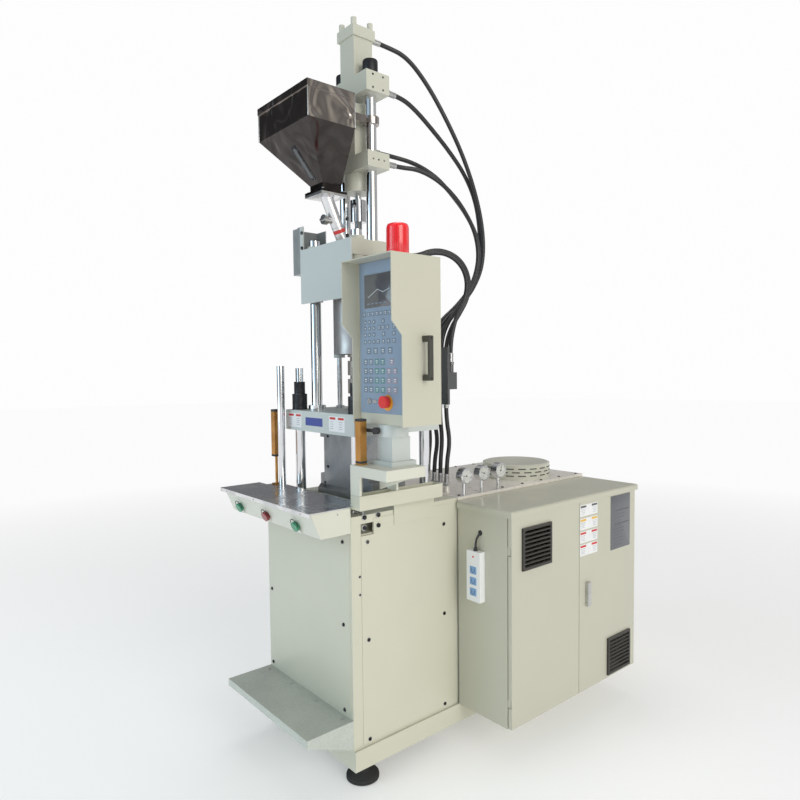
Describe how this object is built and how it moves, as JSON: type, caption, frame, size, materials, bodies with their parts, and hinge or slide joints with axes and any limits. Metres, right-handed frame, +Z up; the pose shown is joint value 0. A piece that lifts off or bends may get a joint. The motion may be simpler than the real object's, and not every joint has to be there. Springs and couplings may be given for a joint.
{
  "type": "injection moulding machine",
  "caption": "Vertical injection moulding machine: steel column with clamp, upright plasticising unit with hopper, swivel control box, oil tank and electric cabinet.",
  "frame": {"origin": "middle of the whole outline, on the floor", "axes": "+Z up, the front with the step and the work table faces -Y, +X is the operator's right-hand side with the control box and the cabinet"},
  "size_m": [1.015, 1.685, 3.046],
  "materials": {
    "light_paint": "semi-gloss light cream enamel",
    "grey_paint": "semi-gloss pale grey-blue enamel",
    "dark_paint": "satin dark grey",
    "stainless": "brushed",
    "mirror_steel": "polished",
    "chrome": "hard chrome, polished",
    "tool_steel": "ground",
    "black_steel": "blackened",
    "barrel_steel": "heat tinted",
    "amber": "anodised",
    "black_rubber": "matt",
    "black_plastic": "matt",
    "white_plastic": "gloss",
    "red_plastic": "gloss",
    "green_plastic": "gloss",
    "red_lens": "clear, moulded",
    "keypad": "matt film",
    "hose": "satin"
  },
  "bodies": {
    "frame": {"machine_frame": "light_paint", "levelling_feet": "black_rubber", "column_panels": "light_paint", "step_plate": "grey_paint", "lower_platen": "light_paint", "mould_lower_half": "tool_steel", "work_table": "stainless", "button_panel": "light_paint", "side_tray": "light_paint", "control_arm": "light_paint", "pedestal": "light_paint", "light_curtains": "amber", "curtain_post": "grey_paint", "oil_tank": "light_paint", "tank_cover": "grey_paint", "pump_motor": "light_paint", "pressure_gauges": "chrome", "cabinet_shell": "light_paint", "cabinet_lid": "light_paint", "power_strip": "white_plastic", "clamp_cylinder": "dark_paint", "lower_hoses": "hose"},
    "clamp": {"clamp_ram": "tool_steel", "moving_platen": "light_paint", "tie_bars": "chrome", "tie_bar_nuts": "black_steel", "guide_rods": "chrome", "mould_upper_half": "tool_steel", "hose_manifold": "dark_paint"},
    "carriage": {"injection_base": "light_paint", "guard_plate": "light_paint", "carriage_cylinders": "grey_paint", "barrel": "barrel_steel", "barrel_cover": "barrel_steel", "injection_rods": "chrome", "top_crosshead": "light_paint", "injection_cylinder": "light_paint", "motor_bracket": "light_paint", "screw_motor": "light_paint", "hopper": "mirror_steel", "feed_chute": "stainless", "upper_hoses": "hose"},
    "screw_drive": {"thrust_coupling": "tool_steel"},
    "screw": {"screw": "tool_steel"},
    "hopper_lid": {"hopper_lid": "mirror_steel"},
    "chute_knob": {"chute_knob": "stainless"},
    "control_head": {"control_box": "light_paint", "keypad_panel": "keypad", "beacon": "red_lens", "carry_handle": "black_plastic"},
    "estop": {"estop_head": "red_plastic"},
    "clamp_lever": {"clamp_lever": "black_plastic"},
    "left_door": {"left_door": "light_paint", "left_grille": "black_plastic"},
    "right_door": {"right_door": "light_paint", "right_grille": "black_plastic"},
    "door_handle": {"door_handle": "chrome"},
    "green_button_left": {"green_button_left": "green_plastic"},
    "red_button": {"red_button": "red_plastic"},
    "green_button_right": {"green_button_right": "green_plastic"}
  },
  "joints": [
    {"name": "clamp_stroke", "type": "slide", "parent": "frame", "child": "clamp", "axis": [0, 0, 1], "range_m": [0, 0.2], "deforming": ["lower_hoses"]},
    {"name": "nozzle_retract", "type": "slide", "parent": "clamp", "child": "carriage", "axis": [0, 0, 1], "range_m": [0, 0.15], "deforming": ["upper_hoses"]},
    {"name": "injection_stroke", "type": "slide", "parent": "carriage", "child": "screw_drive", "axis": [0, 0, 1], "range_m": [-0.085, 0]},
    {"name": "screw_turn", "type": "hinge", "parent": "screw_drive", "child": "screw", "pos_m": [-0.1235, -0.35, 2.2], "axis": [0, 0, 1], "continuous": true},
    {"name": "hopper_lid_hinge", "type": "hinge", "parent": "carriage", "child": "hopper_lid", "pos_m": [-0.1205, -0.4945, 2.666], "axis": [-1, 0, 0], "range_deg": [0, 95]},
    {"name": "chute_knob_turn", "type": "hinge", "parent": "carriage", "child": "chute_knob", "pos_m": [-0.1205, -0.5275, 2.212], "axis": [0, -1, 0], "range_deg": [0, 90]},
    {"name": "control_swivel", "type": "hinge", "parent": "frame", "child": "control_head", "pos_m": [0.2925, -0.5095, 1.3953], "axis": [0, 0, 1], "range_deg": [-8, 5]},
    {"name": "clamp_lever_turn", "type": "hinge", "parent": "frame", "child": "clamp_lever", "pos_m": [0.2745, -0.5775, 1.3725], "axis": [0, -1, 0], "range_deg": [0, 60]},
    {"name": "estop_press", "type": "slide", "parent": "control_head", "child": "estop", "axis": [0, 1, 0], "range_m": [0, 0.005], "stiffness_N_per_m": 800},
    {"name": "left_door_hinge", "type": "hinge", "parent": "frame", "child": "left_door", "pos_m": [0.4835, -0.0785, 0.6], "axis": [0, 0, -1], "range_deg": [0, 110]},
    {"name": "right_door_hinge", "type": "hinge", "parent": "frame", "child": "right_door", "pos_m": [0.4835, 0.8155, 0.6], "axis": [0, 0, 1], "range_deg": [0, 110]},
    {"name": "door_handle_turn", "type": "hinge", "parent": "right_door", "child": "door_handle", "pos_m": [0.4965, 0.427, 0.632], "axis": [1, 0, 0], "range_deg": [0, 90]},
    {"name": "green_button_left_press", "type": "slide", "parent": "frame", "child": "green_button_left", "axis": [0, 0.9153, 0.4027], "range_m": [0, 0.004], "stiffness_N_per_m": 400},
    {"name": "red_button_press", "type": "slide", "parent": "frame", "child": "red_button", "axis": [0, 0.9153, 0.4027], "range_m": [0, 0.004], "stiffness_N_per_m": 400},
    {"name": "green_button_right_press", "type": "slide", "parent": "frame", "child": "green_button_right", "axis": [0, 0.9153, 0.4027], "range_m": [0, 0.004], "stiffness_N_per_m": 400}
  ]
}
